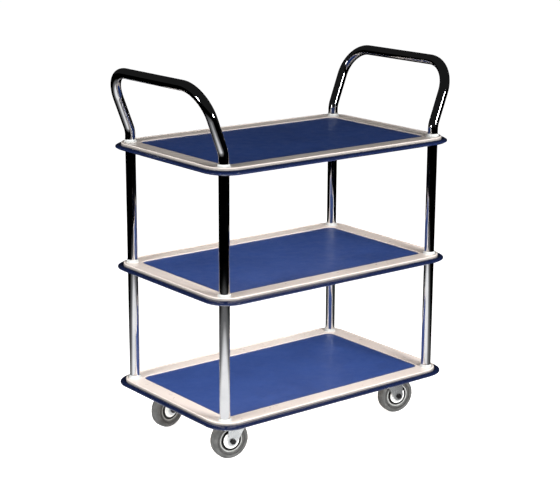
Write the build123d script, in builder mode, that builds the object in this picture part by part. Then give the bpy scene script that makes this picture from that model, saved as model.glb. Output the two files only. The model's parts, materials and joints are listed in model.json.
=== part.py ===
from build123d import *
import os

# A three-shelf trolley: pressed steel decks with rubber mats and bumpers, chromed tube posts,
# a tube handle at each end and four swivel casters. Millimetres, +X along the length, +Y to the
# back, +Z up. The origin is on the floor, under the middle of the trolley.

os.makedirs("parts", exist_ok=True)

# ---- overall ----
length = 736.0  # over the bumpers
width = 476.0  # over the bumpers
corner_radius = 62.0  # outside of a bumper's corner
shelf_pitch = 304.0  # from one deck to the next

# ---- decks ----
sheet = 1.5
skirt_depth = 16.0  # the turned-down edge, below the border
pan_radius = 56.0
border_width = 46.0  # from the pan's edge to the recess
lip_width = 5.0
lip_height = 1.5
lip_round = 3.0
recess_depth = 4.5
recess_radius = 18.0
bend_round = 1.2

# ---- bumpers, mats and stiffening channels ----
bumper_reach = 12.0  # how far a bumper stands out of the pan's sides
bumper_height = 11.0
bumper_drop = 4.0  # from the border down to the bumper's top
bumper_round = 5.3
mat_thickness = 3.0
mat_gap = 0.5  # round a mat, in its recess
mat_round = 0.8
channel_crown = 20.0
channel_height = 9.5
channel_flange = 10.0
channel_end_gap = 22.0  # from a channel's end to the recess's end
channel_clearance = 6.0  # from a channel to a caster's plate

# ---- posts and handles ----
tube_radius = 12.7
tube_wall = 1.5
post_margin = 10.8  # from a collar's flange to the raised lip
handle_rise = 180.0  # from the top deck to the crossbar's centre
handle_reach = 58.0  # how far the crossbar stands out from the posts
handle_stub = 28.0  # height of the bend outwards
handle_stub_bend = 60.0
handle_corner_bend = 76.0
collar_floor = 2.0
collar_height = 7.0
collar_flange = 3.5  # beyond the tube
collar_rim = 1.4  # beyond the tube, at the collar's mouth
collar_edge = 1.5
fit_gap = 0.1  # between a tube and what holds it
plug_length = 15.0
stud_radius = 5.0
thread_gap = 0.05
hole_gap = 0.25
stud_end_gap = 1.0
washer_radius = 12.0
washer_thickness = 2.0
bolt_head_radius = 9.8  # across corners
bolt_head_height = 6.4

# ---- casters ----
wheel_diameter = 95.0
tyre_width = 27.0
tyre_shoulder = 8.0
tyre_bead_round = 1.5
rim_radius = 30.0
rim_wall = 3.5
rim_width = 23.0
hub_disc_radius = 20.5
hub_disc_width = 28.0
boss_radius = 10.0
web_width = 10.0
wheel_side_gap = 0.5  # between the boss and a fork leg
tyre_clearance = 16.5  # from the tyre's top to the fork's crown
trail = 24.0  # from the swivel axis to the axle
fork_sheet = 2.5
fork_gap = 36.0  # between the legs
fork_back = 24.0
fork_front = 32.0
fork_shoulder = 7.0  # depth of a leg's straight top
fork_bend = 3.5
leg_end_radius = 13.0
race_gap = 4.0  # between the fork's crown and the plate
ball_radius = 3.0
ball_circle_radius = 14.0
ball_count = 12
ball_gap = 0.3
pin_radius = 6.0
pin_gap = 0.05
pin_head_radius = 11.0
pin_head_height = 5.0
pin_head_gap = 0.3
plate_thickness = 3.0
plate_length = 100.0
plate_width = 72.0
plate_corner = 8.0
plate_hole_pitch_x = 80.0
plate_hole_pitch_y = 52.0
caster_inset_x = 67.0  # from the recess's end to the swivel axis
caster_inset_y = 44.0  # from the recess's side to the swivel axis
weld_stud_radius = 4.0
weld_stud_length = 7.5
nut_radius = 7.5  # across corners
nut_height = 4.0
axle_radius = 4.0
sleeve_radius = 6.0
axle_head_radius = 7.4  # across corners
axle_head_height = 4.5
axle_dome = 1.2
caster_turns = {"front_left": 170.0, "front_right": -11.0, "rear_left": 188.0, "rear_right": -6.0}

# ---- places worked out from those sizes ----
pan_length = length - 2 * bumper_reach
pan_width = width - 2 * bumper_reach
recess_length = pan_length - 2 * border_width
recess_width = pan_width - 2 * border_width
floor_drop = recess_depth + sheet  # from the border to the underside of the floor
post_inset = lip_width + post_margin + collar_flange + tube_radius  # from the pan's edge to a post's centre
post_x = pan_length / 2 - post_inset
post_y = pan_width / 2 - post_inset
post_places = GridLocations(2 * post_x, 2 * post_y, 2, 2)
wheel_radius = wheel_diameter / 2
crown_bottom = wheel_diameter + tyre_clearance
crown_top = crown_bottom + fork_sheet
race_height = crown_top + race_gap / 2
plate_bottom = crown_top + race_gap
plate_top = plate_bottom + plate_thickness
base_level = plate_top + floor_drop
deck_levels = {
    "lower": base_level,
    "middle": base_level + shelf_pitch,
    "upper": base_level + 2 * shelf_pitch,
}
caster_x = recess_length / 2 - caster_inset_x
caster_y = recess_width / 2 - caster_inset_y
channel_half_width = channel_crown / 2 + channel_flange
channel_offset = caster_y - plate_width / 2 - channel_clearance - channel_half_width
plug_radius = tube_radius - tube_wall - thread_gap
stud_hole_radius = stud_radius + hole_gap
fork_width = fork_gap + 2 * fork_sheet
wheel_plane = Plane(origin=(trail, 0, wheel_radius))
wheel_axis = Axis((trail, 0, wheel_radius), (0, 1, 0))
caster_places = {
    "front_left": (-caster_x, -caster_y, 0),
    "front_right": (caster_x, -caster_y, 0),
    "rear_left": (-caster_x, caster_y, 0),
    "rear_right": (caster_x, caster_y, 0),
}


def save(part, name):
    part.label = name
    export_step(part, f"parts/{name}.step")


# ---- decks ----
def make_deck(name, level):
    """A pan with a raised lip round a flat border, a turned-down skirt and a recess for the mat."""
    with BuildPart() as deck:
        with BuildSketch(Plane.XY.offset(level - skirt_depth)):
            RectangleRounded(pan_length, pan_width, pan_radius)
        extrude(amount=skirt_depth + lip_height)
        fillet(deck.faces().sort_by(Axis.Z)[-1].edges(), radius=lip_round)
        with BuildSketch(Plane.XY.offset(level)):
            RectangleRounded(pan_length - 2 * lip_width, pan_width - 2 * lip_width, pan_radius - lip_width)
        extrude(amount=lip_height, mode=Mode.SUBTRACT)
        with BuildSketch(Plane.XY.offset(level - recess_depth)):
            RectangleRounded(recess_length, recess_width, recess_radius)
        extrude(amount=recess_depth, mode=Mode.SUBTRACT)
        border = deck.faces().filter_by(Axis.Z).group_by(Axis.Z)[-2].sort_by(SortBy.AREA)[-1]
        fillet(border.inner_wires()[0].edges(), radius=bend_round)
        with BuildSketch(Plane.XY.offset(level - skirt_depth)):
            RectangleRounded(pan_length - 2 * sheet, pan_width - 2 * sheet, pan_radius - sheet)
        extrude(amount=skirt_depth - floor_drop, mode=Mode.SUBTRACT)
        with BuildSketch(Plane.XY.offset(level - floor_drop)):
            RectangleRounded(pan_length - 2 * sheet, pan_width - 2 * sheet, pan_radius - sheet)
            RectangleRounded(
                recess_length + 2 * sheet, recess_width + 2 * sheet, recess_radius + sheet, mode=Mode.SUBTRACT
            )
        extrude(amount=recess_depth, mode=Mode.SUBTRACT)
        with BuildSketch(Plane.XY.offset(level)):
            with post_places:
                Circle(stud_hole_radius)
        extrude(amount=-sheet, mode=Mode.SUBTRACT)
    save(deck.part, f"{name}_deck")


def make_mat(name, level):
    with BuildPart() as mat:
        with BuildSketch(Plane.XY.offset(level - recess_depth)):
            RectangleRounded(recess_length - 2 * mat_gap, recess_width - 2 * mat_gap, recess_radius - mat_gap)
        extrude(amount=mat_thickness)
        fillet(mat.faces().sort_by(Axis.Z)[-1].edges(), radius=mat_round)
    save(mat.part, f"{name}_mat")


def make_bumper(name, level):
    """A half-round strip that runs round the skirt."""
    with BuildPart() as bumper:
        with BuildSketch(Plane.XY.offset(level - bumper_drop - bumper_height)):
            RectangleRounded(length, width, corner_radius)
            RectangleRounded(pan_length, pan_width, pan_radius, mode=Mode.SUBTRACT)
        extrude(amount=bumper_height)
        flats = bumper.faces().filter_by(Axis.Z)
        fillet([edge for flat in flats for edge in flat.outer_wire().edges()], radius=bumper_round)
    save(bumper.part, f"{name}_bumper")


def make_channels(name, level):
    """Two hat channels under the floor, lengthways."""
    with BuildPart() as channels:
        for side in (-1, 1):
            with BuildSketch(Plane.YZ.offset(-recess_length / 2 + channel_end_gap)):
                with Locations((side * channel_offset, level - floor_drop)):
                    Rectangle(2 * channel_half_width, sheet, align=(Align.CENTER, Align.MAX))
                    Rectangle(channel_crown, channel_height, align=(Align.CENTER, Align.MAX))
                    Rectangle(
                        channel_crown - 2 * sheet,
                        channel_height - sheet,
                        align=(Align.CENTER, Align.MAX),
                        mode=Mode.SUBTRACT,
                    )
            extrude(amount=recess_length - 2 * channel_end_gap)
    save(channels.part, f"{name}_deck_channels")


# ---- posts, collars and what joins them ----
def post_corners():
    for side_y, depth in ((-1, "front"), (1, "rear")):
        for side_x, end in ((-1, "left"), (1, "right")):
            yield f"{depth}_{end}", side_x * post_x, side_y * post_y


def tube_ends(bay):
    """The heights of a post's foot and head, between two decks."""
    below, above = {"lower": ("lower", "middle"), "upper": ("middle", "upper")}[bay]
    foot = deck_levels[below] + collar_floor
    head = deck_levels[above] - sheet - collar_floor
    return foot, head


def make_uprights(bay):
    foot, head = tube_ends(bay)
    for corner, x, y in post_corners():
        with BuildPart() as upright:
            with BuildSketch(Plane((x, y, foot))):
                Circle(tube_radius)
                Circle(tube_radius - tube_wall, mode=Mode.SUBTRACT)
            extrude(amount=head - foot)
        save(upright.part, f"{bay}_upright_{corner}")


def make_handle(end, side):
    """A hoop of tube that leans outwards, with its feet on two posts."""
    foot = deck_levels["upper"] + collar_floor
    bend = deck_levels["upper"] + handle_stub
    crossbar = deck_levels["upper"] + handle_rise
    leg_x = side * post_x
    bar_x = side * (post_x + handle_reach)
    with BuildPart() as handle:
        with BuildLine() as path:
            FilletPolyline(
                (leg_x, -post_y, foot),
                (leg_x, -post_y, bend),
                (bar_x, -post_y, crossbar),
                (bar_x, post_y, crossbar),
                (leg_x, post_y, bend),
                (leg_x, post_y, foot),
                radius=(handle_stub_bend, handle_corner_bend, handle_corner_bend, handle_stub_bend),
            )
        with BuildSketch(Plane((leg_x, -post_y, foot))):
            Circle(tube_radius)
            Circle(tube_radius - tube_wall, mode=Mode.SUBTRACT)
        sweep(path=path.line)
    save(handle.part, f"{end}_handle")


def collar(face, up):
    """A flanged cup that seats a tube's end on a deck; up is -1 for the ones that hang below."""
    mouth = tube_radius + fit_gap
    with BuildPart(mode=Mode.PRIVATE) as cup:
        with BuildSketch(Plane.XZ):
            with BuildLine():
                Polyline(
                    (stud_hole_radius, face),
                    (tube_radius + collar_flange, face),
                    (tube_radius + collar_flange, face + up * collar_edge),
                    (tube_radius + collar_rim, face + up * collar_height),
                    (mouth, face + up * collar_height),
                    (mouth, face + up * collar_floor),
                    (stud_hole_radius, face + up * collar_floor),
                    close=True,
                )
            make_face()
        revolve(axis=Axis.Z)
    return cup.part


def make_collars(name, level):
    cups = [collar(level, 1)]
    if name != "lower":
        cups.append(collar(level - sheet, -1))
    with BuildPart() as collars:
        for cup in cups:
            with post_places:
                add(cup)
    save(collars.part, f"{name}_deck_collars")


def make_plugs():
    """Threaded plugs pressed into the ends of the posts and the feet of the handles."""
    feet = [tube_ends("lower")[0], tube_ends("upper")[0], deck_levels["upper"] + collar_floor]
    heads = [tube_ends("lower")[1] - plug_length, tube_ends("upper")[1] - plug_length]
    with BuildPart() as plugs:
        for bottom in feet + heads:
            with BuildSketch(Plane.XY.offset(bottom)):
                with post_places:
                    Circle(plug_radius)
                    Circle(stud_radius + thread_gap, mode=Mode.SUBTRACT)
            extrude(amount=plug_length)
    save(plugs.part, "tube_plugs")


def make_joining_studs():
    reach = collar_floor + plug_length - stud_end_gap
    with BuildPart() as studs:
        for name in ("middle", "upper"):
            with BuildSketch(Plane.XY.offset(deck_levels[name] - sheet - reach)):
                with post_places:
                    Circle(stud_radius)
            extrude(amount=sheet + 2 * reach)
    save(studs.part, "joining_studs")


def make_base_bolts():
    """Bolts that hold the lowest deck up against the posts, with their washers."""
    seat = deck_levels["lower"] - sheet - washer_thickness
    with BuildPart() as washers:
        with BuildSketch(Plane.XY.offset(seat)):
            with post_places:
                Circle(washer_radius)
                Circle(stud_hole_radius, mode=Mode.SUBTRACT)
        extrude(amount=washer_thickness)
    save(washers.part, "base_washers")
    with BuildPart() as bolts:
        with BuildSketch(Plane.XY.offset(seat)):
            with post_places:
                RegularPolygon(radius=bolt_head_radius, side_count=6)
        extrude(amount=-bolt_head_height)
        with BuildSketch(Plane.XY.offset(seat)):
            with post_places:
                Circle(stud_radius)
        extrude(amount=washer_thickness + sheet + collar_floor + plug_length - stud_end_gap)
    save(bolts.part, "base_bolts")


# ---- one caster, with its swivel axis on Z and its wheel trailing towards +X ----
def caster_plate():
    with BuildPart() as plate:
        with BuildSketch(Plane.XY.offset(plate_bottom)):
            RectangleRounded(plate_length, plate_width, plate_corner)
            Circle(pin_radius, mode=Mode.SUBTRACT)
            with GridLocations(plate_hole_pitch_x, plate_hole_pitch_y, 2, 2):
                Circle(weld_stud_radius + hole_gap, mode=Mode.SUBTRACT)
        extrude(amount=plate_thickness)
        with BuildSketch(Plane.XZ):
            with Locations((ball_circle_radius, race_height)):
                Circle(ball_radius + ball_gap)
        revolve(axis=Axis.Z, mode=Mode.SUBTRACT)
    return plate.part


def king_pin():
    """The rivet that the fork turns on, fixed in the plate."""
    head_top = crown_bottom - pin_head_gap
    with BuildPart() as pin:
        with BuildSketch(Plane.XY.offset(head_top - pin_head_height)):
            Circle(pin_head_radius)
        extrude(amount=pin_head_height)
        fillet(pin.edges().sort_by(Axis.Z)[0], radius=pin_head_height / 2)
        with BuildSketch(Plane.XY.offset(head_top)):
            Circle(pin_radius)
        extrude(amount=plate_top - head_top)
    return pin.part


def race_balls():
    with BuildPart() as balls:
        with Locations((0, 0, race_height)):
            with PolarLocations(ball_circle_radius, ball_count):
                Sphere(ball_radius)
    return balls.part


def fork():
    """A folded yoke: a crown with the ball race, and two legs that carry the axle."""
    with BuildPart() as yoke:
        with BuildSketch(Plane.XZ):
            with Locations((-fork_back, crown_top)):
                Rectangle(fork_back + fork_front, fork_sheet + fork_shoulder, align=(Align.MIN, Align.MAX))
            with Locations((trail, wheel_radius)):
                Circle(leg_end_radius)
            make_hull()
        extrude(amount=fork_width / 2, both=True)
        with BuildSketch(Plane.XZ):
            with Locations(((fork_front - fork_back) / 2, crown_bottom)):
                Rectangle(2 * (fork_back + fork_front), crown_bottom, align=(Align.CENTER, Align.MAX))
        extrude(amount=fork_gap / 2, both=True, mode=Mode.SUBTRACT)
        fillet(yoke.edges().filter_by(Axis.X).group_by(Axis.Z)[-1], radius=fork_bend)
        with BuildSketch(Plane.XY.offset(crown_bottom)):
            Circle(pin_radius + pin_gap)
        extrude(amount=fork_sheet, mode=Mode.SUBTRACT)
        with BuildSketch(Plane.XZ):
            with Locations((ball_circle_radius, race_height)):
                Circle(ball_radius + ball_gap)
        revolve(axis=Axis.Z, mode=Mode.SUBTRACT)
        with BuildSketch(Plane.XZ):
            with Locations((trail, wheel_radius)):
                Circle(axle_radius + thread_gap)
        extrude(amount=fork_width / 2, both=True, mode=Mode.SUBTRACT)
    return yoke.part


def axle():
    """The axle bolt with its nut, and the sleeve that it clamps between the legs."""
    side = Plane(origin=(trail, 0, wheel_radius), x_dir=(1, 0, 0), z_dir=(0, -1, 0))
    with BuildPart() as bolt:
        with BuildSketch(side.offset(fork_width / 2)):
            RegularPolygon(radius=axle_head_radius, side_count=6)
        extrude(amount=axle_head_height)
        chamfer(bolt.faces().sort_by(Axis.Y)[0].edges(), length=axle_dome)
        with BuildSketch(side.offset(fork_width / 2)):
            Circle(axle_radius)
        extrude(amount=-(fork_width + axle_head_height))
    with BuildPart() as nut:
        with BuildSketch(side.offset(-fork_width / 2)):
            RegularPolygon(radius=axle_head_radius, side_count=6)
            Circle(axle_radius + thread_gap, mode=Mode.SUBTRACT)
        extrude(amount=-axle_head_height)
    with BuildPart() as sleeve:
        with BuildSketch(side):
            Circle(sleeve_radius)
            Circle(axle_radius + thread_gap, mode=Mode.SUBTRACT)
        extrude(amount=fork_gap / 2, both=True)
    return Compound(children=[bolt.part, nut.part, sleeve.part])


def hub():
    """A bored boss, a face disc, a thin web and the rim that the tyre sits on."""
    bore = sleeve_radius + pin_gap
    rings = (
        (bore, boss_radius, fork_gap - 2 * wheel_side_gap),
        (bore, hub_disc_radius, hub_disc_width),
        (bore, rim_radius, web_width),
        (rim_radius - rim_wall, rim_radius, rim_width),
    )
    with BuildPart() as wheel_centre:
        with BuildSketch(wheel_plane):
            for inside, outside, across in rings:
                with Locations((inside, 0)):
                    Rectangle(outside - inside, across, align=(Align.MIN, Align.CENTER))
        revolve(axis=wheel_axis)
    return wheel_centre.part


def tyre():
    with BuildPart() as ring:
        with BuildSketch(wheel_plane) as section:
            with Locations((rim_radius, 0)):
                Rectangle(wheel_radius - rim_radius, tyre_width, align=(Align.MIN, Align.CENTER))
            corners = section.vertices().group_by(Axis.X)
            fillet(corners[-1], radius=tyre_shoulder)
            fillet(corners[0], radius=tyre_bead_round)
        revolve(axis=wheel_axis)
    return ring.part


def make_casters():
    fixed = {"caster_plate": caster_plate(), "king_pin": king_pin()}
    turning = {"race_balls": race_balls(), "fork": fork(), "axle": axle(), "hub": hub(), "tyre": tyre()}
    for corner, place in caster_places.items():
        for name, piece in fixed.items():
            save(piece.moved(Location(place)), f"{corner}_{name}")
        for name, piece in turning.items():
            save(piece.moved(Location(place, (0, 0, caster_turns[corner]))), f"{corner}_{name}")


def make_caster_fasteners():
    """Studs welded under the lowest deck's floor, and the nuts that hold the plates up to it."""
    with BuildPart() as studs:
        with BuildSketch(Plane.XY.offset(plate_top)):
            with Locations(*caster_places.values()):
                with GridLocations(plate_hole_pitch_x, plate_hole_pitch_y, 2, 2):
                    Circle(weld_stud_radius)
        extrude(amount=-weld_stud_length)
    save(studs.part, "caster_studs")
    with BuildPart() as nuts:
        with BuildSketch(Plane.XY.offset(plate_bottom)):
            with Locations(*caster_places.values()):
                with GridLocations(plate_hole_pitch_x, plate_hole_pitch_y, 2, 2):
                    RegularPolygon(radius=nut_radius, side_count=6)
                    Circle(weld_stud_radius + thread_gap, mode=Mode.SUBTRACT)
        extrude(amount=-nut_height)
    save(nuts.part, "caster_nuts")


for deck_name, deck_level in deck_levels.items():
    make_deck(deck_name, deck_level)
    make_mat(deck_name, deck_level)
    make_bumper(deck_name, deck_level)
    make_channels(deck_name, deck_level)
    make_collars(deck_name, deck_level)
make_uprights("lower")
make_uprights("upper")
make_handle("left", -1)
make_handle("right", 1)
make_plugs()
make_joining_studs()
make_base_bolts()
make_casters()
make_caster_fasteners()
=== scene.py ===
import json
from math import acos, atan2, cos, pi, radians, sin, tan

import bmesh
import bpy
from mathutils import Matrix, Vector, noise


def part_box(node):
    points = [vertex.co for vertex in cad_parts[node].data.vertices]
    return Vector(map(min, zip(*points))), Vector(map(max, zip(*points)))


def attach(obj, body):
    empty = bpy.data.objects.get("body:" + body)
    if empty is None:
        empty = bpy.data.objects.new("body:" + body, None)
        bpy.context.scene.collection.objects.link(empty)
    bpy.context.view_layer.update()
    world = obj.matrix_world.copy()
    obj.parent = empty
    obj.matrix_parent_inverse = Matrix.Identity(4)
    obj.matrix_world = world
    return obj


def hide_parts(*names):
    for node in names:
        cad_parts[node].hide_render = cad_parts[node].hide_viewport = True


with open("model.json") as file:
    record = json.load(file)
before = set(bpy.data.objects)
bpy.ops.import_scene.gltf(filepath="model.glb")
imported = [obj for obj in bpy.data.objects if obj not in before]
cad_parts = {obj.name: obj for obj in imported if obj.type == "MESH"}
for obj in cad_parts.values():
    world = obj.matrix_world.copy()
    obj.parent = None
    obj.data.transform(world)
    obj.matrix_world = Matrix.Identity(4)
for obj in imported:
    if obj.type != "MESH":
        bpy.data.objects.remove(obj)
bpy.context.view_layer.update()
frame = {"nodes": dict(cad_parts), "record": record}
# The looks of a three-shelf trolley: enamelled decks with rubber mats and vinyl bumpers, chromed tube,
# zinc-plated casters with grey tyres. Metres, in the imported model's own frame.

record = frame["record"]
body_of = {node: body for body, nodes in record["behaviour"]["bodies"].items() for node in nodes}
slot_of = {row["node"]: row["material_slot"] for row in record["subparts"]}
axis_of = {joint["name"]: joint["axis"] for joint in record["behaviour"]["joints"]}
MM = 0.001
DECKS = ("lower", "middle", "upper")
CORNERS = ("front_left", "front_right", "rear_left", "rear_right")

# ---- sizes that the boxes of the CAD nodes don't give ----
LIP_WIDTH = 5.0 * MM
LIP_HEIGHT = 1.5 * MM
LIP_ROUND = 3.0 * MM
SHEET = 1.5 * MM
RECESS_DEPTH = 4.5 * MM
RECESS_DRAFT = 0.8 * MM
RECESS_RADIUS = 18.0 * MM
PAN_RADIUS = 56.0 * MM
BUMPER_RADIUS = 62.0 * MM
MAT_GAP = 0.5 * MM
TUBE_WALL = 1.5 * MM
HANDLE_STUB = 28.0 * MM
HANDLE_STUB_BEND = 60.0 * MM
HANDLE_CORNER_BEND = 76.0 * MM
COLLAR_FLOOR = 2.0 * MM
COLLAR_FLANGE = 3.5 * MM
COLLAR_RIM = 1.4 * MM
COLLAR_EDGE = 1.5 * MM
TUBE_FIT = 0.1 * MM
STUD_HOLE_RADIUS = 5.25 * MM
TRAIL = 24.0 * MM
TYRE_HALF = 13.5 * MM
HUB_BORE = 6.05 * MM
HUB_HALF = 17.5 * MM
BOSS_RADIUS = 9.0 * MM
WEB_HALF = 5.0 * MM
RIM_WALL = 3.5 * MM
RIM_RADIUS = 30.0 * MM
RIM_HALF = 11.5 * MM
HUB_DISC_RADIUS = 20.5 * MM
HUB_DISH_RADIUS = 18.6 * MM
FORK_HALF = 20.5 * MM
FORK_SHEET = 2.5 * MM
FORK_BEND = 3.5 * MM
FORK_SHOULDER = 7.0 * MM
FORK_BACK = -24.0 * MM
FORK_FRONT = 32.0 * MM
LEG_END_RADIUS = 13.0 * MM
MAT_RING = 9.0 * MM  # between a mat's rings of faces
MAT_WAVE = 0.35 * MM


# ---- mesh helpers ----
def new_piece(name, bm, material, node, smooth_angle=35.0):
    """Turns a bmesh into a piece that stands for a CAD node and rides on that node's body."""
    bmesh.ops.remove_doubles(bm, verts=bm.verts, dist=1e-6)
    bmesh.ops.recalc_face_normals(bm, faces=bm.faces)
    mesh = bpy.data.meshes.new(name)
    bm.to_mesh(mesh)
    bm.free()
    for polygon in mesh.polygons:
        polygon.use_smooth = True
    mesh.set_sharp_from_angle(angle=radians(smooth_angle))
    mesh.materials.append(material)
    piece = bpy.data.objects.new(name, mesh)
    bpy.context.scene.collection.objects.link(piece)
    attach(piece, body_of[node])
    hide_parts(node)
    return piece


def rounded(points, radii, steps=5, closed=True):
    """A polyline with its corners turned into arcs; it works on 2-D and 3-D points alike."""
    made = []
    count = len(points)
    for i, (point, radius) in enumerate(zip(points, radii)):
        corner = Vector(point)
        if radius == 0 or (not closed and i in (0, count - 1)):
            made.append(corner)
            continue
        before = (Vector(points[i - 1]) - corner).normalized()
        after = (Vector(points[(i + 1) % count]) - corner).normalized()
        half = before.angle(after) / 2
        bisector = (before + after).normalized()
        centre = corner + bisector * (radius / sin(half))
        start = corner + before * (radius / tan(half)) - centre
        end = corner + after * (radius / tan(half)) - centre
        turn = start.angle(end)
        for k in range(steps + 1):
            share = k / steps
            arm = (start * sin((1 - share) * turn) + end * sin(share * turn)) / sin(turn)
            made.append(centre + arm)
    return made


def rounded_profile(corners, steps=5, closed=True):
    """The same for corners that are each an (across, along, radius) row."""
    points = [(across, along) for across, along, radius in corners]
    return rounded(points, [radius for across, along, radius in corners], steps, closed)


def mirrored(corners):
    """The rows of one side of a profile again for its other side, in the reverse order."""
    return [(across, -along, radius) for across, along, radius in reversed(corners)]


def rounded_loop(half_x, half_y, radius, corner_steps=14, side_steps=6):
    """Points round a rectangle with arcs at its corners, anticlockwise from the right side."""
    points = []
    centres = (
        (half_x - radius, half_y - radius, 0.0),
        (radius - half_x, half_y - radius, 90.0),
        (radius - half_x, radius - half_y, 180.0),
        (half_x - radius, radius - half_y, 270.0),
    )
    for k, (x, y, first) in enumerate(centres):
        arc = []
        for i in range(corner_steps + 1):
            angle = radians(first + 90.0 * i / corner_steps)
            arc.append((x + radius * cos(angle), y + radius * sin(angle)))
        points += arc
        nx, ny, turn = centres[(k + 1) % 4]
        following = (nx + radius * cos(radians(turn)), ny + radius * sin(radians(turn)))
        for i in range(1, side_steps):
            share = i / side_steps
            points.append(tuple(a + (b - a) * share for a, b in zip(arc[-1], following)))
    return points


def skin_loops(bm, loops, ring=False):
    """Quads between closed loops of points, each the same length. Returns the vertex loops."""
    rows = [[bm.verts.new(p) for p in loop] for loop in loops]
    pairs = list(zip(rows, rows[1:] + rows[:1] if ring else rows[1:]))
    for row, following in pairs:
        count = len(row)
        for i in range(count):
            j = (i + 1) % count
            bm.faces.new((row[i], row[j], following[j], following[i]))
    return rows


def cap_ends(bm, rows):
    """A face on the first and on the last of a skin's vertex loops."""
    bm.faces.new(rows[0])
    bm.faces.new(rows[-1])


def lathe(bm, profile, place, segments=64, closed=True):
    """Turns a (radius, height) profile about place's Z axis."""
    loops = []
    turns = [2 * pi * i / segments for i in range(segments)]
    for radius, height in profile:
        loops.append([place @ Vector((radius * cos(turn), radius * sin(turn), height)) for turn in turns])
    rows = skin_loops(bm, loops, ring=closed)
    if not closed:
        cap_ends(bm, rows)


def tube(bm, path, radius, wall, segments=56):
    """A hollow tube along a path, its ends cut square."""
    outside, inside = [], []
    heading = (path[1] - path[0]).normalized()
    side = heading.orthogonal().normalized()
    for i, point in enumerate(path):
        before = (point - path[i - 1]).normalized() if i else heading
        after = (path[i + 1] - point).normalized() if i + 1 < len(path) else before
        heading = (before + after).normalized()
        side = (side - heading * side.dot(heading)).normalized()
        other = heading.cross(side)
        for loops, reach in ((outside, radius), (inside, radius - wall)):
            loops.append(
                [
                    point + reach * (side * cos(2 * pi * k / segments) + other * sin(2 * pi * k / segments))
                    for k in range(segments)
                ]
            )
    skin_loops(bm, outside + inside[::-1], ring=True)


# ---- materials ----
class Shader:
    """A node material with a Principled shader, and short names for the nodes that feed it."""

    def __init__(self, name, color, **sockets):
        self.material = bpy.data.materials.new(name)
        self.material.use_nodes = True
        self.nodes = self.material.node_tree.nodes
        self.links = self.material.node_tree.links
        self.shader = self.nodes["Principled BSDF"]
        self.shader.inputs["Base Color"].default_value = (*color, 1.0)
        for socket, value in sockets.items():
            self.shader.inputs[socket.replace("_", " ").title().replace("Ior", "IOR")].default_value = value
        self.place = self.nodes.new("ShaderNodeTexCoord").outputs["Object"]
        self.height = None

    def stretched(self, x, y, z):
        """The object's coordinates, scaled along each axis to draw a pattern out."""
        node = self.nodes.new("ShaderNodeMapping")
        node.inputs["Scale"].default_value = (x, y, z)
        self.links.new(self.place, node.inputs["Vector"])
        return node.outputs["Vector"]

    def noise(self, scale, detail=3.0, roughness=0.5, place=None):
        node = self.nodes.new("ShaderNodeTexNoise")
        node.inputs["Scale"].default_value = scale
        node.inputs["Detail"].default_value = detail
        node.inputs["Roughness"].default_value = roughness
        self.links.new(place or self.place, node.inputs["Vector"])
        return node.outputs["Fac"]

    def cells(self, scale, feature="F1"):
        node = self.nodes.new("ShaderNodeTexVoronoi")
        node.feature = feature
        node.inputs["Scale"].default_value = scale
        self.links.new(self.place, node.inputs["Vector"])
        return node.outputs["Distance"]

    def spread(self, value, low, high, to_low=0.0, to_high=1.0):
        """Maps the range from low to high onto the one from to_low to to_high, and clamps it there."""
        node = self.nodes.new("ShaderNodeMapRange")
        for socket, number in zip(("From Min", "From Max", "To Min", "To Max"), (low, high, to_low, to_high)):
            node.inputs[socket].default_value = number
        self.links.new(value, node.inputs["Value"])
        return node.outputs["Result"]

    def level(self):
        """1 on level faces, whether they look up or down, and 0 on upright ones."""
        split = self.nodes.new("ShaderNodeSeparateXYZ")
        self.links.new(self.nodes.new("ShaderNodeTexCoord").outputs["Normal"], split.inputs["Vector"])
        return self.math("ABSOLUTE", split.outputs["Z"], 0.0)

    def math(self, operation, a, b):
        node = self.nodes.new("ShaderNodeMath")
        node.operation = operation
        for socket, value in zip(node.inputs, (a, b)):
            if isinstance(value, (int, float)):
                socket.default_value = value
            else:
                self.links.new(value, socket)
        return node.outputs["Value"]

    def mix(self, share, a, b):
        """A colour between a and b; each is a colour or another socket."""
        node = self.nodes.new("ShaderNodeMix")
        node.data_type = "RGBA"
        self.links.new(share, node.inputs["Factor"])
        for socket, value in ((node.inputs[6], a), (node.inputs[7], b)):
            if isinstance(value, tuple):
                socket.default_value = (*value, 1.0)
            else:
                self.links.new(value, socket)
        return node.outputs[2]

    def set(self, socket, value):
        self.links.new(value, self.shader.inputs[socket])

    def bump(self, height, distance, strength=1.0):
        """Adds a bump of that height in metres, on top of any before it."""
        node = self.nodes.new("ShaderNodeBump")
        node.inputs["Distance"].default_value = distance
        node.inputs["Strength"].default_value = strength
        self.links.new(height, node.inputs["Height"])
        if self.height is not None:
            self.links.new(self.height, node.inputs["Normal"])
        self.height = node.outputs["Normal"]
        self.links.new(self.height, self.shader.inputs["Normal"])


def enamel():
    """Gloss cream enamel: orange peel, yellowing and dust. Upright faces are painted darker, a painted shade
    for the low lamps.
    """
    cream, warm = (0.92, 0.83, 0.765), (0.90, 0.795, 0.72)
    grime, upright_painted_shade = (0.50, 0.43, 0.37), (0.24, 0.22, 0.205)
    m = Shader(
        "cream_enamel", cream, roughness=0.28, specular_ior_level=0.5, coat_weight=0.3, coat_roughness=0.15
    )
    tone = m.mix(m.spread(m.noise(7.0, 4.0), 0.35, 0.7), cream, warm)
    # Upright faces are mixed towards a darker colour: painted shade, not a change in the enamel.
    tone = m.mix(m.spread(m.level(), 0.3, 0.99), upright_painted_shade, tone)
    specks = m.spread(m.noise(420.0, 2.0), 0.74, 0.8)
    m.set("Base Color", m.mix(m.math("MULTIPLY", specks, 0.25), tone, grime))
    m.set("Roughness", m.spread(m.noise(60.0, 5.0), 0.3, 0.7, 0.27, 0.33))
    m.bump(m.noise(260.0, 2.0), 0.00001)
    return m.material


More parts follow.
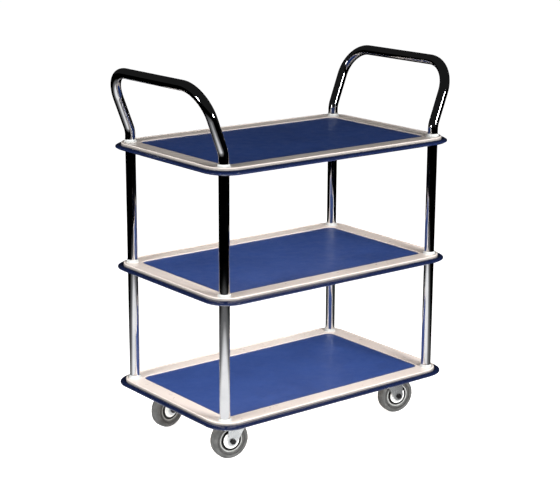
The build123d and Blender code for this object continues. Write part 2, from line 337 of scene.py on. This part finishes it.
def mat_rubber():
    """Smooth blue rubber sheet with a fine pebble, scuffs along the length and slight waviness."""
    blue, deep, scuff = (0.036, 0.076, 0.262), (0.030, 0.063, 0.222), (0.075, 0.125, 0.32)
    m = Shader("blue_mat_rubber", blue, roughness=0.36, specular_ior_level=0.42)
    tone = m.mix(m.spread(m.noise(9.0, 5.0), 0.3, 0.7), deep, blue)
    marks = m.spread(m.noise(26.0, 6.0, 0.7, m.stretched(0.5, 6.0, 1.0)), 0.60, 0.78)
    m.set("Base Color", m.mix(m.math("MULTIPLY", marks, 0.4), tone, scuff))
    m.set("Roughness", m.spread(m.noise(34.0, 6.0, 0.65), 0.3, 0.7, 0.30, 0.46))
    m.bump(m.cells(620.0), 0.00012)
    m.bump(m.noise(14.0, 2.0), 0.0010)
    return m.material


def bumper_vinyl():
    """Navy extruded vinyl: glossy, with faint lengthwise draw lines and rub marks."""
    navy, rubbed = (0.0055, 0.010, 0.036), (0.014, 0.022, 0.06)
    m = Shader(
        "navy_bumper_vinyl", navy, roughness=0.2, specular_ior_level=0.5, coat_weight=0.3, coat_roughness=0.08
    )
    rub = m.spread(m.noise(48.0, 6.0, 0.7), 0.56, 0.76)
    m.set("Base Color", m.mix(m.math("MULTIPLY", rub, 0.5), navy, rubbed))
    m.set("Roughness", m.spread(m.noise(90.0, 4.0), 0.3, 0.7, 0.12, 0.2))
    m.bump(m.noise(240.0, 1.0, 0.4, m.stretched(0.02, 0.02, 6.0)), 0.00005)
    return m.material


def chrome():
    """Bright chrome plate: near-mirror, with polishing haze, fine scratches and slight waviness."""
    m = Shader("chrome_plate", (0.78, 0.785, 0.80), metallic=1.0, roughness=0.05)
    m.set("Roughness", m.spread(m.noise(38.0, 6.0, 0.65), 0.35, 0.75, 0.035, 0.11))
    haze = m.spread(m.noise(15.0, 3.0), 0.4, 0.7)
    m.set("Base Color", m.mix(haze, (0.80, 0.805, 0.82), (0.70, 0.71, 0.735)))
    m.bump(m.noise(900.0, 2.0, 0.5, m.stretched(1.0, 1.0, 0.04)), 0.000012)
    return m.material


def zinc():
    """Bright zinc plate on pressed steel, clouded and rubbed."""
    m = Shader("zinc_plate", (0.75, 0.77, 0.78), metallic=1.0, roughness=0.3)
    cloud = m.spread(m.noise(70.0, 5.0, 0.6), 0.3, 0.7)
    m.set("Base Color", m.mix(cloud, (0.80, 0.815, 0.82), (0.62, 0.64, 0.655)))
    m.set("Roughness", m.spread(m.noise(160.0, 4.0), 0.3, 0.7, 0.22, 0.42))
    m.bump(m.noise(700.0, 3.0), 0.00003)
    return m.material


def ball_steel():
    """Polished bearing steel."""
    m = Shader("race_ball_steel", (0.66, 0.66, 0.67), metallic=1.0, roughness=0.1)
    m.set("Roughness", m.spread(m.noise(500.0, 2.0), 0.3, 0.7, 0.06, 0.2))
    return m.material


def black_steel():
    """Black oxide fastener, bright where a spanner has been."""
    black, bare = (0.012, 0.012, 0.013), (0.12, 0.12, 0.12)
    m = Shader("black_oxide_steel", black, metallic=0.6, roughness=0.38)
    m.set("Base Color", m.mix(m.spread(m.noise(420.0, 4.0), 0.62, 0.8), black, bare))
    m.set("Roughness", m.spread(m.noise(260.0, 3.0), 0.3, 0.7, 0.3, 0.5))
    m.bump(m.noise(900.0, 2.0), 0.00002)
    return m.material


def hub_plastic():
    """White moulded wheel centre, a little dusty in its corners."""
    white, dusty = (0.78, 0.79, 0.78), (0.52, 0.51, 0.48)
    m = Shader("white_hub", white, roughness=0.35, specular_ior_level=0.5)
    m.set("Base Color", m.mix(m.spread(m.noise(95.0, 5.0, 0.7), 0.56, 0.82), white, dusty))
    m.set("Roughness", m.spread(m.noise(130.0, 4.0), 0.3, 0.7, 0.28, 0.5))
    m.bump(m.noise(800.0, 2.0), 0.00003)
    return m.material


def tyre_rubber():
    """Non-marking grey rubber, with dust on the tread and a fine moulded grain."""
    grey, dark, dust = (0.085, 0.086, 0.084), (0.045, 0.046, 0.045), (0.15, 0.145, 0.135)
    m = Shader("grey_tyre_rubber", grey, roughness=0.55, specular_ior_level=0.4)
    tone = m.mix(m.spread(m.noise(55.0, 5.0), 0.3, 0.7), dark, grey)
    dusty = m.spread(m.noise(140.0, 6.0, 0.7), 0.55, 0.8)
    m.set("Base Color", m.mix(m.math("MULTIPLY", dusty, 0.6), tone, dust))
    m.set("Roughness", m.spread(m.noise(200.0, 4.0), 0.3, 0.7, 0.45, 0.7))
    m.bump(m.noise(1100.0, 3.0), 0.00006)
    return m.material


def tyre_shade():
    """The tyre's stepped wall, painted dark: a painted shade for the recessed step, with random lighter
    patches.
    """
    dark, dusty = (0.022, 0.022, 0.022), (0.05, 0.05, 0.048)
    m = Shader("tyre_step_painted_shade", (0.03, 0.03, 0.03), roughness=0.7)
    m.set("Base Color", m.mix(m.spread(m.noise(160.0, 4.0), 0.3, 0.7), dark, dusty))
    m.set("Roughness", m.spread(m.noise(300.0, 3.0), 0.3, 0.7, 0.55, 0.8))
    m.bump(m.noise(900.0, 3.0), 0.00006)
    return m.material


def rim_grey():
    """The wheel centre's rim, greyed by the tyre's rubber."""
    clean, rubbed = (0.28, 0.285, 0.28), (0.17, 0.17, 0.16)
    m = Shader("hub_rim_grey", (0.25, 0.25, 0.245), roughness=0.45)
    m.set("Base Color", m.mix(m.spread(m.noise(120.0, 5.0, 0.7), 0.35, 0.75), clean, rubbed))
    m.set("Roughness", m.spread(m.noise(200.0, 3.0), 0.3, 0.7, 0.35, 0.6))
    m.bump(m.noise(800.0, 2.0), 0.00003)
    return m.material


def satin_nickel():
    """Dull nickel plate on the collars, paler and softer than the chrome."""
    m = Shader("satin_nickel", (0.74, 0.75, 0.73), metallic=0.4, roughness=0.4)
    cloud = m.spread(m.noise(120.0, 4.0), 0.3, 0.7)
    m.set("Base Color", m.mix(cloud, (0.76, 0.77, 0.75), (0.64, 0.65, 0.63)))
    m.set("Roughness", m.spread(m.noise(300.0, 3.0), 0.3, 0.7, 0.34, 0.48))
    m.bump(m.noise(900.0, 2.0), 0.00002)
    return m.material


def groove_black():
    """Black for the groove round the wheel centre's disc: a painted shade for the shadow in the deep groove,
    with random lighter patches.
    """
    painted_groove_shade, dust = (0.006, 0.006, 0.007), (0.035, 0.034, 0.032)
    m = Shader("hub_groove_painted_shade", (0.008, 0.008, 0.009), roughness=0.6)
    m.set("Base Color", m.mix(m.spread(m.noise(220.0, 4.0), 0.35, 0.75), painted_groove_shade, dust))
    m.set("Roughness", m.spread(m.noise(300.0, 3.0), 0.3, 0.7, 0.45, 0.7))
    m.bump(m.noise(700.0, 3.0), 0.0001)
    return m.material


materials = {
    "enamelled_steel": enamel(),
    "mat_rubber": mat_rubber(),
    "bumper_vinyl": bumper_vinyl(),
    "chrome_tube": chrome(),
    "zinc_steel": zinc(),
    "ball_steel": ball_steel(),
    "black_steel": black_steel(),
    "hub_white": hub_plastic(),
    "grey_tyre": tyre_rubber(),
    "tyre_shade": tyre_shade(),
    "rim_grey": rim_grey(),
    "satin_nickel": satin_nickel(),
    "groove_black": groove_black(),
}


# ---- decks ----
def deck_radius(inset):
    """Corner radius of the pan's outline, from its edge in to the recess."""
    if inset <= LIP_WIDTH:
        return PAN_RADIUS - inset
    low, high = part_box("lower_deck")
    mat_low, mat_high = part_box("lower_mat")
    border = (high.x - low.x - mat_high.x + mat_low.x) / 2 - MAT_GAP
    share = min((inset - LIP_WIDTH) / (border - LIP_WIDTH), 1.0)
    return PAN_RADIUS - LIP_WIDTH + (RECESS_RADIUS - PAN_RADIUS + LIP_WIDTH) * share


def make_deck(name):
    """The pan as one folded sheet: recess, border, lip, skirt, and the same again underneath."""
    low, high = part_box(f"{name}_deck")
    half_x, half_y = high.x, high.y
    level = high.z - LIP_HEIGHT
    skirt = level - low.z
    border = half_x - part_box(f"{name}_mat")[1].x - MAT_GAP
    floor_start, draft = border + 6 * MM, RECESS_DRAFT
    corners = (
        (floor_start, -RECESS_DEPTH, 0),
        (border + draft, -RECESS_DEPTH, 1.0 * MM),
        (border - draft, 0.0, 1.8 * MM),
        (LIP_WIDTH + 1.2 * MM, 0.0, 2.0 * MM),
        (LIP_WIDTH - 0.8 * MM, LIP_HEIGHT, 1.4 * MM),
        (0.0, LIP_HEIGHT, LIP_ROUND),
        (0.0, -skirt, 0.5 * MM),
        (SHEET, -skirt, 0.5 * MM),
        (SHEET, -SHEET, 1.2 * MM),
        (border - SHEET - draft, -SHEET, 0.6 * MM),
        (border - SHEET + draft, -RECESS_DEPTH - SHEET, 1.2 * MM),
        (floor_start, -RECESS_DEPTH - SHEET, 0),
    )
    profile = rounded_profile(corners, closed=False)
    bm = bmesh.new()
    loops = []
    for inset, z in profile:
        outline = rounded_loop(half_x - inset, half_y - inset, deck_radius(inset))
        loops.append([Vector((x, y, level + z)) for x, y in outline])
    rows = skin_loops(bm, loops)
    cap_ends(bm, rows)
    new_piece(f"{name}_deck_pressing", bm, materials["enamelled_steel"], f"{name}_deck")


def make_mat(name):
    """A rubber sheet with a rolled edge, lying in the recess with the slight waves of a real one."""
    low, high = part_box(f"{name}_mat")
    radius = RECESS_RADIUS - MAT_GAP
    corners = ((4 * MM, low.z, 0), (0.0, low.z, 0.3 * MM), (0.0, high.z, 0.9 * MM), (4 * MM, high.z, 0))
    edge = rounded_profile(corners, closed=False)
    insets = [point[0] for point in edge]
    heights = [point[1] for point in edge]
    inset = 10 * MM
    while inset < high.y - 4 * MM:
        insets.append(inset)
        heights.append(high.z)
        inset += MAT_RING
    bm = bmesh.new()
    loops = []
    for inset, z in zip(insets, heights):
        outline = rounded_loop(high.x - inset, high.y - inset, max(radius - inset, 2 * MM), 8, 40)
        loop = []
        for x, y in outline:
            wave = noise.noise(Vector((x * 11.0, y * 11.0, low.z * 37.0)))
            drop = MAT_WAVE * (0.5 + 0.5 * wave) if z == high.z else 0.0
            loop.append(Vector((x, y, z - drop)))
        loops.append(loop)
    rows = skin_loops(bm, loops)
    cap_ends(bm, rows)
    new_piece(f"{name}_mat_sheet", bm, materials["mat_rubber"], f"{name}_mat")


def make_bumper(name):
    """A vinyl strip with a rounded nose, butted together in the middle of the back."""
    low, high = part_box(f"{name}_bumper")
    reach = high.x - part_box(f"{name}_deck")[1].x
    middle = (low.z + high.z) / 2
    half = (high.z - low.z) / 2
    upper = ((reach, half, 0.5 * MM), (6.0 * MM, half, 5.0 * MM), (0.0, 1.6 * MM, 2.4 * MM))
    profile = rounded_profile([*upper, *mirrored(upper)], steps=8)
    joint_gap = 0.35 * MM
    bm = bmesh.new()
    outlines = []
    for inset, z in profile:
        corner = BUMPER_RADIUS + (PAN_RADIUS - BUMPER_RADIUS) * inset / reach
        outline = rounded_loop(high.x - inset, high.y - inset, corner, 20, 8)
        back = [i for i, (x, y) in enumerate(outline) if y > high.y - inset - 1e-6]
        start = min(back, key=lambda i: abs(outline[i][0]))
        turned = outline[start:] + outline[:start]
        strip = [(-joint_gap, turned[0][1])] + turned[1:] + [(joint_gap, turned[0][1])]
        outlines.append([Vector((x, y, middle + z)) for x, y in strip])
    rows = skin_loops(bm, [[loop[i] for loop in outlines] for i in range(len(outlines[0]))])
    cap_ends(bm, rows)
    new_piece(f"{name}_bumper_strip", bm, materials["bumper_vinyl"], f"{name}_bumper")


# ---- tubes and collars ----
def make_upright(node):
    """A straight post: a hollow tube as tall as its node."""
    low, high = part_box(node)
    centre = (low + high) / 2
    radius = (high.x - low.x) / 2
    stations = 12
    heights = [low.z + (high.z - low.z) * i / stations for i in range(stations + 1)]
    path = [Vector((centre.x, centre.y, height)) for height in heights]
    bm = bmesh.new()
    tube(bm, path, radius, TUBE_WALL)
    new_piece(f"{node}_tube", bm, materials["chrome_tube"], node)


def make_handle(end, side):
    """One bent tube: a stub on each post, legs that lean outwards and a bar across."""
    low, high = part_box(f"{end}_handle")
    post_low, post_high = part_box(f"upper_upright_front_{end}")
    post = (post_low + post_high) / 2
    radius = (post_high.x - post_low.x) / 2
    bar_x = high.x - radius if side > 0 else low.x + radius
    bar_z = high.z - radius
    bend_z = low.z - COLLAR_FLOOR + HANDLE_STUB
    back_y = high.y - radius
    corners = [
        (post.x, post.y, low.z),
        (post.x, post.y, bend_z),
        (bar_x, post.y, bar_z),
        (bar_x, back_y, bar_z),
        (post.x, back_y, bend_z),
        (post.x, back_y, low.z),
    ]
    radii = [0, HANDLE_STUB_BEND, HANDLE_CORNER_BEND, HANDLE_CORNER_BEND, HANDLE_STUB_BEND, 0]
    bm = bmesh.new()
    tube(bm, rounded(corners, radii, steps=18, closed=False), radius, TUBE_WALL)
    new_piece(f"{end}_handle_tube", bm, materials["chrome_tube"], f"{end}_handle")


def post_centres():
    """Each lower post's centre and tube radius, as x, y, radius."""
    for corner in CORNERS:
        low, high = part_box(f"lower_upright_{corner}")
        yield (low.x + high.x) / 2, (low.y + high.y) / 2, (high.x - low.x) / 2


def make_collars(name):
    """Pressed cups, flared at the foot, that seat the tubes on the deck."""
    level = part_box(f"{name}_deck")[1].z - LIP_HEIGHT
    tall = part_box(f"{name}_deck_collars")[1].z - level
    faces = [(level, 1.0)]
    if name != "lower":
        faces.append((level - SHEET, -1.0))
    bm = bmesh.new()
    for x, y, radius in post_centres():
        mouth = radius + TUBE_FIT
        corners = (
            (STUD_HOLE_RADIUS, 0.0, 0),
            (radius + COLLAR_FLANGE, 0.0, 0.2 * MM),
            (radius + COLLAR_FLANGE, COLLAR_EDGE, 0.7 * MM),
            (radius + 1.8 * MM, 3.2 * MM, 2.0 * MM),
            (radius + COLLAR_RIM, tall, 0.6 * MM),
            (mouth, tall, 0.2 * MM),
            (mouth, COLLAR_FLOOR, 0.2 * MM),
            (STUD_HOLE_RADIUS, COLLAR_FLOOR, 0),
        )
        profile = rounded_profile(corners)
        for face, up in faces:
            place = Matrix.Translation((x, y, face)) @ Matrix.Scale(up, 4, (0, 0, 1))
            lathe(bm, profile, place)
    new_piece(f"{name}_deck_collar_set", bm, materials["satin_nickel"], f"{name}_deck_collars")


# ---- casters ----
def turn_of(corner):
    """How far a caster is turned from trailing along +X, from its axle's direction."""
    axle = axis_of[f"{corner}_wheel_turn"]
    return atan2(-axle[0], axle[1])


def wheel_place(corner):
    """The wheel's centre, with Z along its axle."""
    low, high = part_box(f"{corner}_tyre")
    turned = Matrix.Rotation(turn_of(corner), 4, "Z") @ Matrix.Rotation(-pi / 2, 4, "X")
    return Matrix.Translation((low + high) / 2) @ turned


def make_tyre(corner):
    """Solid tyre: crowned tread with a moulding line, round shoulders and stepped side walls."""
    low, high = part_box(f"{corner}_tyre")
    radius = (high.z - low.z) / 2
    half = TYRE_HALF
    side = (
        (RIM_RADIUS, half - 1.2 * MM, 0.6 * MM),
        (RIM_RADIUS + 1.6 * MM, half - 0.2 * MM, 0.6 * MM),
        (RIM_RADIUS + 2.6 * MM, half - 0.2 * MM, 0.4 * MM),
        (RIM_RADIUS + 3.2 * MM, half - 1.0 * MM, 0.5 * MM),
        (RIM_RADIUS + 6.8 * MM, half - 0.9 * MM, 1.5 * MM),
        (RIM_RADIUS + 8.0 * MM, half, 1.0 * MM),
        (radius - 0.2 * MM, half, 7.2 * MM),
        (radius - 0.15 * MM, 0.8 * MM, 0),
        (radius, 0.35 * MM, 0),
    )
    place = wheel_place(corner)
    bm = bmesh.new()
    lathe(bm, rounded_profile([*side, *mirrored(side)], steps=6), place, segments=96)
    piece = new_piece(f"{corner}_tyre_ring", bm, materials["grey_tyre"], f"{corner}_tyre")
    piece.data.materials.append(materials["tyre_shade"])
    # The faces of the recessed step take tyre_shade, a painted shade.
    to_wheel = place.inverted()
    for polygon in piece.data.polygons:
        out = (to_wheel @ polygon.center).xy.length
        if RIM_RADIUS + 2.8 * MM < out < RIM_RADIUS + 7.4 * MM:
            polygon.material_index = 1


def make_hub(corner):
    """Moulded wheel centre: boss, dished face disc, a deep groove and the rim."""
    side = (
        (HUB_BORE, HUB_HALF, 0.3 * MM),
        (BOSS_RADIUS, HUB_HALF, 0.8 * MM),
        (BOSS_RADIUS + 0.8 * MM, HUB_HALF - 3.3 * MM, 1.2 * MM),
        (HUB_DISH_RADIUS, HUB_HALF - 3.6 * MM, 1.0 * MM),
        (HUB_DISC_RADIUS, HUB_HALF - 4.4 * MM, 1.0 * MM),
        (HUB_DISC_RADIUS - 0.3 * MM, WEB_HALF, 1.0 * MM),
        (RIM_RADIUS - RIM_WALL + 0.1 * MM, WEB_HALF, 1.0 * MM),
        (RIM_RADIUS - RIM_WALL, RIM_HALF - 0.3 * MM, 0.6 * MM),
        (RIM_RADIUS, RIM_HALF, 0.3 * MM),
    )
    place = wheel_place(corner)
    bm = bmesh.new()
    lathe(bm, rounded_profile([*side, *mirrored(side)], steps=4), place, segments=96)
    piece = new_piece(f"{corner}_hub_centre", bm, materials["hub_white"], f"{corner}_hub")
    piece.data.materials.append(materials["groove_black"])
    piece.data.materials.append(materials["rim_grey"])
    to_wheel = place.inverted()
    for polygon in piece.data.polygons:
        middle = to_wheel @ polygon.center
        out = middle.xy.length
        # The groove's faces take the black material, a painted shade for the shadow in the deep groove.
        in_groove = HUB_DISC_RADIUS - 0.6 * MM < out < RIM_RADIUS - RIM_WALL + 0.5 * MM
        if in_groove and abs(middle.z) < RIM_HALF - 1.5 * MM:
            polygon.material_index = 1
        elif out > RIM_RADIUS - RIM_WALL - 0.1 * MM:
            polygon.material_index = 2


def leg_edge(x, shoulder, axle_z, z, sign):
    """Where a leg's edge is at height z: a line from the shoulder that runs onto its round end."""
    run = Vector((x - TRAIL, shoulder - axle_z))
    turn = atan2(run.y, run.x) - sign * acos(LEG_END_RADIUS / run.length)
    touch = Vector((TRAIL + LEG_END_RADIUS * cos(turn), axle_z + LEG_END_RADIUS * sin(turn)))
    if z >= shoulder:
        return x
    if z >= touch.y:
        return touch.x + (x - touch.x) * (z - touch.y) / (shoulder - touch.y)
    return TRAIL + sign * max(LEG_END_RADIUS**2 - (z - axle_z) ** 2, 0.0) ** 0.5


def make_fork(corner):
    """A folded yoke: one strip of sheet that runs up a leg, over the crown and down the other leg."""
    low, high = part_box(f"{corner}_fork")
    pin_low, pin_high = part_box(f"{corner}_king_pin")
    swivel = (pin_low + pin_high) / 2
    half, bend = FORK_HALF, FORK_BEND
    axle_z = low.z + LEG_END_RADIUS
    shoulder = high.z - FORK_SHEET - FORK_SHOULDER
    leg_steps = [low.z + LEG_END_RADIUS * (1 - cos(pi * k / 24)) for k in range(13)]
    leg_steps += [axle_z + (shoulder - axle_z) * k / 8 for k in range(1, 9)]
    line = [(half, z) for z in leg_steps]
    quarter = [pi * k / 16 for k in range(9)]
    line += [(half - bend + bend * cos(turn), high.z - bend + bend * sin(turn)) for turn in quarter]
    line += [(half - bend - (2 * (half - bend)) * k / 6, high.z) for k in range(1, 6)]
    line += [(-y, z) for y, z in reversed(line[: len(leg_steps) + 9])]
    bm = bmesh.new()
    loops = []
    for i, (y, z) in enumerate(line):
        y0, z0 = line[max(i - 1, 0)]
        y1, z1 = line[min(i + 1, len(line) - 1)]
        along = Vector((y1 - y0, z1 - z0)).normalized()
        inner = Vector((-along.y, along.x)) * FORK_SHEET
        back = leg_edge(FORK_BACK, shoulder, axle_z, z, -1)
        front = leg_edge(FORK_FRONT, shoulder, axle_z, z, 1)
        soft = 0.5 * MM if front - back > 4 * MM else 0.0
        section = (
            (back + soft, 0.0), (front - soft, 0.0), (front, 0.25), (front, 0.75),
            (front - soft, 1.0), (back + soft, 1.0), (back, 0.75), (back, 0.25),
        )
        loops.append([(x, y + inner.x * deep, z + inner.y * deep) for x, deep in section])
    rows = skin_loops(bm, loops)
    cap_ends(bm, rows)
    turned = Matrix.Translation((swivel.x, swivel.y, 0)) @ Matrix.Rotation(turn_of(corner), 4, "Z")
    bm.transform(turned)
    new_piece(f"{corner}_fork_yoke", bm, materials["zinc_steel"], f"{corner}_fork")


for deck in DECKS:
    make_deck(deck)
    make_mat(deck)
    make_bumper(deck)
    make_collars(deck)
for corner in CORNERS:
    make_upright(f"lower_upright_{corner}")
    make_upright(f"upper_upright_{corner}")
    make_tyre(corner)
    make_hub(corner)
    make_fork(corner)
make_handle("left", -1)
make_handle("right", 1)


# ---- CAD nodes that stay: a finish each, and rounded edges on the ones that show ----
def finish_cad_node(node, piece):
    """Gives a CAD node its material, welds its seams and rounds the edges that can be seen."""
    piece.data.materials.clear()
    piece.data.materials.append(materials[slot_of[node]])
    weld = piece.modifiers.new("weld", "WELD")
    weld.merge_threshold = 0.002 * MM
    if node.endswith(("_axle", "_caster_plate", "_channels", "_bolts", "_nuts", "_washers", "_king_pin")):
        edges = piece.modifiers.new("edges", "BEVEL")
        edges.width = 0.35 * MM
        edges.segments = 2
        edges.angle_limit = radians(40)
        edges.use_clamp_overlap = True
    normals = piece.modifiers.new("normals", "WEIGHTED_NORMAL")
    normals.keep_sharp = True


for node, piece in frame["nodes"].items():
    if not piece.hide_render:
        finish_cad_node(node, piece)


# ---- floor, light and camera ----
def floor_material(name, albedo, steps):
    """A floor that glows by its distance from the object's origin, in (distance, glow) steps."""
    material = bpy.data.materials.new(name)
    material.use_nodes = True
    nodes, links = material.node_tree.nodes, material.node_tree.links
    shader = nodes["Principled BSDF"]
    shader.inputs["Base Color"].default_value = (albedo, albedo, albedo, 1.0)
    shader.inputs["Roughness"].default_value = 0.9
    shader.inputs["Specular IOR Level"].default_value = 0.0
    shader.inputs["Emission Color"].default_value = (1.0, 1.0, 1.0, 1.0)
    length = nodes.new("ShaderNodeVectorMath")
    length.operation = "LENGTH"
    links.new(nodes.new("ShaderNodeTexCoord").outputs["Object"], length.inputs[0])
    reach = steps[-1][0]
    share = nodes.new("ShaderNodeMath")
    share.operation = "DIVIDE"
    share.inputs[1].default_value = reach
    links.new(length.outputs["Value"], share.inputs[0])
    ramp = nodes.new("ShaderNodeValToRGB")
    ramp.color_ramp.interpolation = "EASE"
    stops = ramp.color_ramp.elements
    for k, (distance, glow) in enumerate(steps):
        stop = stops[k] if k < 2 else stops.new(distance / reach)
        stop.position = distance / reach
        stop.color = (glow, glow, glow, 1.0)
    links.new(share.outputs["Value"], ramp.inputs["Fac"])
    links.new(ramp.outputs["Color"], shader.inputs["Emission Strength"])
    return material


def make_ground(name, centre, material):
    """A wide level plane that belongs to the studio, not to the part."""
    bm = bmesh.new()
    bmesh.ops.create_grid(bm, x_segments=8, y_segments=8, size=30.0)
    mesh = bpy.data.meshes.new(name)
    bm.to_mesh(mesh)
    bm.free()
    mesh.materials.append(material)
    ground = bpy.data.objects.new(name, mesh)
    ground.location = centre
    bpy.context.scene.collection.objects.link(ground)
    return ground


def make_floor():
    """A pale floor, and under it the pool of light in a dark studio that only reflections see."""
    floor_steps = ((0.5, 0.75), (2.4, 1.0))
    floor = make_ground("floor", (0.0, 0.0, 0.0), floor_material("pale_floor", 0.9, floor_steps))
    floor.visible_glossy = False
    pool_steps = ((0.55, 1.0), (0.95, 0.16), (1.5, 0.0))
    pool_centre = (-0.5, -0.45, -0.5 * MM)
    pool = make_ground("light_pool", pool_centre, floor_material("light_pool", 0.0, pool_steps))
    pool.visible_camera = False
    pool.visible_diffuse = False
    pool.visible_shadow = False


def soft_box(name, size_x, size_y, position, target, power, glint=False):
    """A rectangular lamp: a soft box lights the object, a glint is only seen in what shines."""
    light = bpy.data.lights.new(name, "AREA")
    light.shape = "RECTANGLE"
    light.size = size_x
    light.size_y = size_y
    light.energy = power
    lamp = bpy.data.objects.new(name, light)
    lamp.location = position
    lamp.rotation_euler = (Vector(target) - Vector(position)).to_track_quat("-Z", "Y").to_euler()
    bpy.context.scene.collection.objects.link(lamp)
    lamp.visible_glossy = glint
    lamp.visible_diffuse = not glint


def make_world():
    """White behind the object for the camera, and a dim studio for what the chrome reflects."""
    world = bpy.data.worlds.new("studio")
    bpy.context.scene.world = world
    world.use_nodes = True
    nodes, links = world.node_tree.nodes, world.node_tree.links
    seen = nodes["Background"]
    seen.inputs["Color"].default_value = (1.0, 1.0, 1.0, 1.0)
    seen.inputs["Strength"].default_value = 1.0
    around = nodes.new("ShaderNodeBackground")
    around.inputs["Color"].default_value = (1.0, 1.0, 1.0, 1.0)
    around.inputs["Strength"].default_value = 0.012
    mix = nodes.new("ShaderNodeMixShader")
    links.new(nodes.new("ShaderNodeLightPath").outputs["Is Camera Ray"], mix.inputs["Fac"])
    links.new(around.outputs["Background"], mix.inputs[1])
    links.new(seen.outputs["Background"], mix.inputs[2])
    links.new(mix.outputs["Shader"], nodes["World Output"].inputs["Surface"])


def make_camera():
    """The camera that was fitted to the photo, from the front left corner and a little above."""
    azimuth, elevation, roll = radians(-38.255), radians(14.661), radians(0.30)
    distance, target = 3.9406, Vector((0.0656, 0.0943, 0.4150))
    back = Vector((sin(azimuth) * cos(elevation), -cos(azimuth) * cos(elevation), sin(elevation)))
    right = Vector((cos(azimuth), sin(azimuth), 0.0))
    up = back.cross(right)
    turned = (right * cos(roll) + up * sin(roll), up * cos(roll) - right * sin(roll), back)
    camera = bpy.data.objects.new("camera", bpy.data.cameras.new("camera"))
    camera.data.lens = 97.27
    camera.data.sensor_width = 36.0
    camera.matrix_world = Matrix.Translation(target + back * distance) @ Matrix(turned).transposed().to_4x4()
    bpy.context.scene.collection.objects.link(camera)
    bpy.context.scene.camera = camera


make_world()
make_camera()
make_floor()
trolley_middle = (0.0, 0.0, 0.45)
soft_box("right_box", 0.9, 0.8, (0.42, -2.36, 1.0), trolley_middle, 115.0)
soft_box("left_box", 0.9, 0.8, (-2.4, -0.17, 1.0), trolley_middle, 78.0)
soft_box("overhead", 1.6, 1.6, (-0.4, 0.3, 3.4), (0.0, 0.0, 0.0), 12.0)
# Each glint stands a little in front of its box; in one plane the box would hide it.
soft_box("right_glint", 0.36, 0.36, (0.405, -2.28, 0.933), trolley_middle, 9.0, glint=True)
soft_box("left_glint", 0.36, 0.36, (-2.32, -0.164, 0.933), trolley_middle, 4.0, glint=True)
bpy.context.scene.view_settings.view_transform = "Standard"
